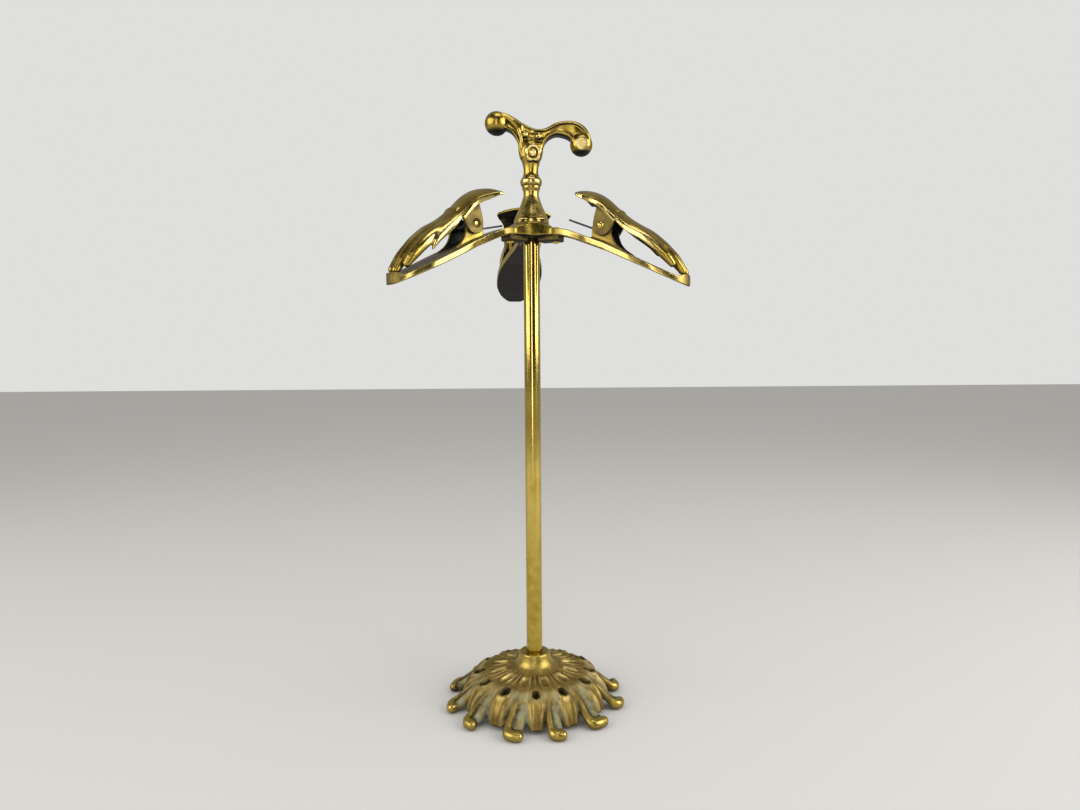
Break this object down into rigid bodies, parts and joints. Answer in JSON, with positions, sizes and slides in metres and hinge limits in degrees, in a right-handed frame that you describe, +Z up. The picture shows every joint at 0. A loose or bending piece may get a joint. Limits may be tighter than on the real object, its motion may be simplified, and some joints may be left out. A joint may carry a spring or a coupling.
{
  "type": "eyeglasses display stand",
  "caption": "Brass display stand: pierced foot, round post, scrolled finial and sprung hand-shaped clips on a turning hub.",
  "frame": {"origin": "on the post's axis at table level", "axes": "+Z up along the post; +X along the finial's scrolls, towards the longer scroll's ball; -Y is the finial's front"},
  "size_m": [0.1365, 0.1281, 0.2923],
  "materials": {
    "aged_cast_brass": "dull cast brass with green tarnish in the hollows",
    "cast_brass": "aged cast brass, polished on the high places",
    "polished_brass": "polished brass with light tarnish",
    "spring_steel": "dark oiled spring wire",
    "plain_steel": "dull zinc-plated steel"
  },
  "bodies": {
    "stand": {"base": "aged_cast_brass", "post": "polished_brass", "tie_rod": "plain_steel", "base_nut": "plain_steel", "base_washer": "plain_steel", "finial": "cast_brass"},
    "arm_set": {"hub_spider": "cast_brass", "right_arm": "cast_brass", "right_pivot_pin": "polished_brass", "right_spring": "spring_steel", "right_rivet": "polished_brass", "back_arm": "cast_brass", "back_pivot_pin": "polished_brass", "back_spring": "spring_steel", "back_rivet": "polished_brass", "left_arm": "cast_brass", "left_pivot_pin": "polished_brass", "left_spring": "spring_steel", "left_rivet": "polished_brass"},
    "right_jaw": {"right_hand": "cast_brass"},
    "back_jaw": {"back_hand": "cast_brass"},
    "left_jaw": {"left_hand": "cast_brass"}
  },
  "joints": [
    {"name": "arm_set_swivel", "type": "hinge", "parent": "stand", "child": "arm_set", "pos_m": [0, 0, 0.2322], "axis": [0, 0, 1], "continuous": true},
    {"name": "right_hand_hinge", "type": "hinge", "parent": "arm_set", "child": "right_jaw", "pos_m": [0.03495, -0.0144, 0.2345], "axis": [-0.3811, -0.9245, 0], "range_deg": [0, 28], "deforming": ["right_spring"]},
    {"name": "back_hand_hinge", "type": "hinge", "parent": "arm_set", "child": "back_jaw", "pos_m": [-0.005, 0.03747, 0.2345], "axis": [0.9912, 0.1323, 0], "range_deg": [0, 28], "deforming": ["back_spring"]},
    {"name": "left_hand_hinge", "type": "hinge", "parent": "arm_set", "child": "left_jaw", "pos_m": [-0.02995, -0.02306, 0.2345], "axis": [-0.6101, 0.7923, 0], "range_deg": [0, 28], "deforming": ["left_spring"]}
  ]
}
